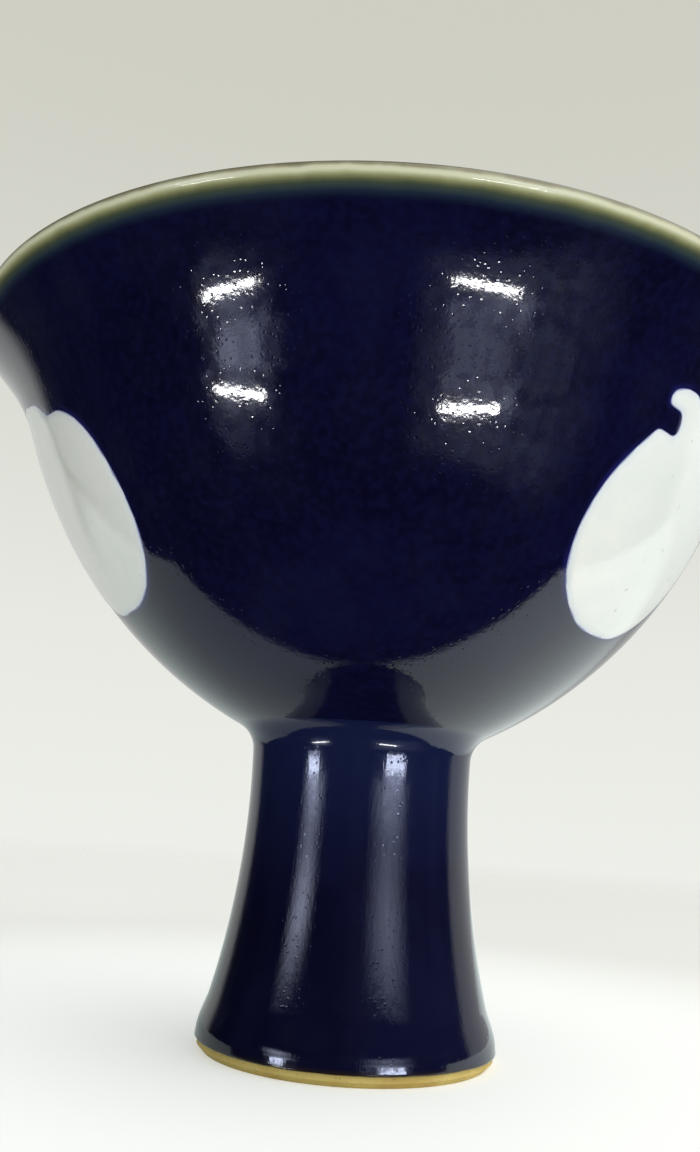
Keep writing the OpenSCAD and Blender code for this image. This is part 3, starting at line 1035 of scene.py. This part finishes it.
def window_glow(p, turn, rise, left_side, right_side, strengths):
    """Strength of one soft light of the room, seen at that turn and rise."""
    left = p.span(turn, *left_side)
    right = p.span(turn, *right_side, 1.0, 0.0)
    stops = [((at - RISE_LOW) / (RISE_HIGH - RISE_LOW), (s, s, s)) for at, s in strengths]
    level = p.ramp(p.span(rise, RISE_LOW, RISE_HIGH, linear=True), stops)
    level = p.node("ShaderNodeSeparateColor", {0: level}).outputs[0]
    return p.times(p.times(left, right), level)


def room_glow(p, heading, part):
    """Strength of all the room's lights: patchy windows, grainy streaks and small bright panes."""
    turn = p.math("DEGREES", p.math("ARCTAN2", part["X"], p.times(part["Y"], -1.0)))
    rise = p.math("DEGREES", p.math("ARCSINE", part["Z"]))
    ragged = p.add(turn, p.times(p.minus(p.noise(heading, 9, 3.0, 0.6), 0.5), 22.0))
    left = window_glow(p, ragged, rise, *LEFT_WINDOW)
    right = window_glow(p, ragged, rise, *RIGHT_WINDOW)
    side = window_glow(p, turn, rise, *SIDE_WINDOW)
    patchy = p.span(p.noise(heading, 16, 4.0, 0.65), 0.34, 0.66, 0.30, 1.55)
    windows = p.times(p.add(p.add(left, right), side), patchy)
    leaning = p.add(turn, p.times(rise, 0.35))
    left = window_glow(p, leaning, rise, *LEFT_STREAK)
    right = window_glow(p, turn, rise, *RIGHT_STREAK)
    fine = p.joined(p.times(turn, 0.35), p.times(rise, 2.6))
    grainy = p.span(p.noise(fine, 1.0, 3.0, 0.65), 0.30, 0.70, 0.50, 1.50)
    streaks = p.times(p.add(left, right), grainy)
    left = window_glow(p, turn, rise, *LEFT_PANE)
    right = window_glow(p, turn, rise, *RIGHT_PANE)
    return p.add(windows, p.add(streaks, p.add(left, right)))


def dim_room(p, heading, part):
    """Dim clouded room in front of the cup and pale wall behind it, as the glaze mirrors them."""
    below = p.math("MINIMUM", p.math("MAXIMUM", p.times(part["Z"], -1.0), 0.0), 0.4)
    behind = p.minus(p.minus(part["Y"], p.times(below, 0.9)), p.span(part["X"], -0.3, 0.3, 0.32, 0.0))
    cloudy = p.span(p.noise(heading, 3.2, 4.0, 0.6), 0.42, 0.72, 0.004, 0.045)
    return p.mix(p.span(behind, 0.20, 0.35), p.scaled(ROOM_DIM, cloudy), ROOM_WALL)


def studio_world():
    """Pale backdrop for the camera, soft light from the right, and a room for the glaze to mirror."""
    world = bpy.data.worlds.new("studio")
    bpy.context.scene.world = world
    world.use_nodes = True
    p = Painter(world.node_tree)
    heading = p.node("ShaderNodeTexCoord").outputs["Generated"]
    part = p.parts(heading)
    lit = p.scaled(WINDOW_LIGHT, room_glow(p, heading, part))
    room = p.node("ShaderNodeVectorMath", {0: dim_room(p, heading, part), 1: lit}, operation="ADD")
    soft = p.mix(p.span(part["X"], -0.9, 0.9), SOFT_LEFT, SOFT_RIGHT)
    backdrop = p.ramp(p.span(part["Z"], -0.30, 0.70), BACKDROP)
    path = p.node("ShaderNodeLightPath").outputs
    light = p.mix(path["Is Glossy Ray"], soft, room.outputs[0])
    ground = world.node_tree.nodes["Background"]
    p.give(ground.inputs["Color"], p.mix(path["Is Camera Ray"], light, backdrop))
    p.give(ground.inputs["Strength"], 1.0)


def soft_box(name, turn, rise, distance, width, height, radiance, roll=0.0):
    """Rectangular lamp seen from the cup at that turn and rise, in degrees, with its own roll."""
    a, e = math.radians(turn), math.radians(rise)
    way = Vector((math.sin(a) * math.cos(e), -math.cos(a) * math.cos(e), math.sin(e)))
    lamp = bpy.data.lights.new(name, "AREA")
    lamp.shape = "RECTANGLE"
    lamp.size, lamp.size_y = width, height
    lamp.energy = radiance * math.pi * width * height
    box = bpy.data.objects.new(name, lamp)
    bpy.context.scene.collection.objects.link(box)
    turn_to = way.to_track_quat("Z", "Y").to_matrix() @ Matrix.Rotation(math.radians(roll), 3, "Z")
    place = Vector((0, 0, LAMP_AIM_Z * MM)) + way * distance
    box.matrix_world = Matrix.Translation(place) @ turn_to.to_4x4()
    box.visible_camera = False


def photo_camera():
    """Camera of the photograph."""
    yaw, pitch, roll = CAMERA_YAW, CAMERA_PITCH, CAMERA_ROLL
    ahead = Vector((math.sin(yaw) * math.cos(pitch), math.cos(yaw) * math.cos(pitch), math.sin(pitch)))
    level = Vector((math.cos(yaw), -math.sin(yaw), 0))
    above = level.cross(ahead)
    right = math.cos(roll) * level + math.sin(roll) * above
    up = math.cos(roll) * above - math.sin(roll) * level
    lens = bpy.data.cameras.new("photo_camera")
    lens.sensor_width = SENSOR
    lens.lens = FOCAL_PX * SENSOR / FRAME_H_PX
    lens.clip_start = 0.01
    eye = bpy.data.objects.new("photo_camera", lens)
    bpy.context.scene.collection.objects.link(eye)
    turn = Matrix((right, up, -ahead)).transposed()
    eye.matrix_world = Matrix.Translation(Vector(CAMERA_PLACE) * MM) @ turn.to_4x4()
    bpy.context.scene.camera = eye


pale_floor()
studio_world()
soft_box("left_bar", turn=-43.5, rise=-19.5, distance=0.60, width=0.155, height=0.016, radiance=60,
         roll=-20)
soft_box("right_bar", turn=26.5, rise=-24, distance=0.60, width=0.172, height=0.016, radiance=60,
         roll=11)
soft_box("overhead", turn=62, rise=58, distance=0.80, width=0.80, height=0.80, radiance=1.0)
photo_camera()
bpy.context.scene.view_settings.view_transform = "Standard"
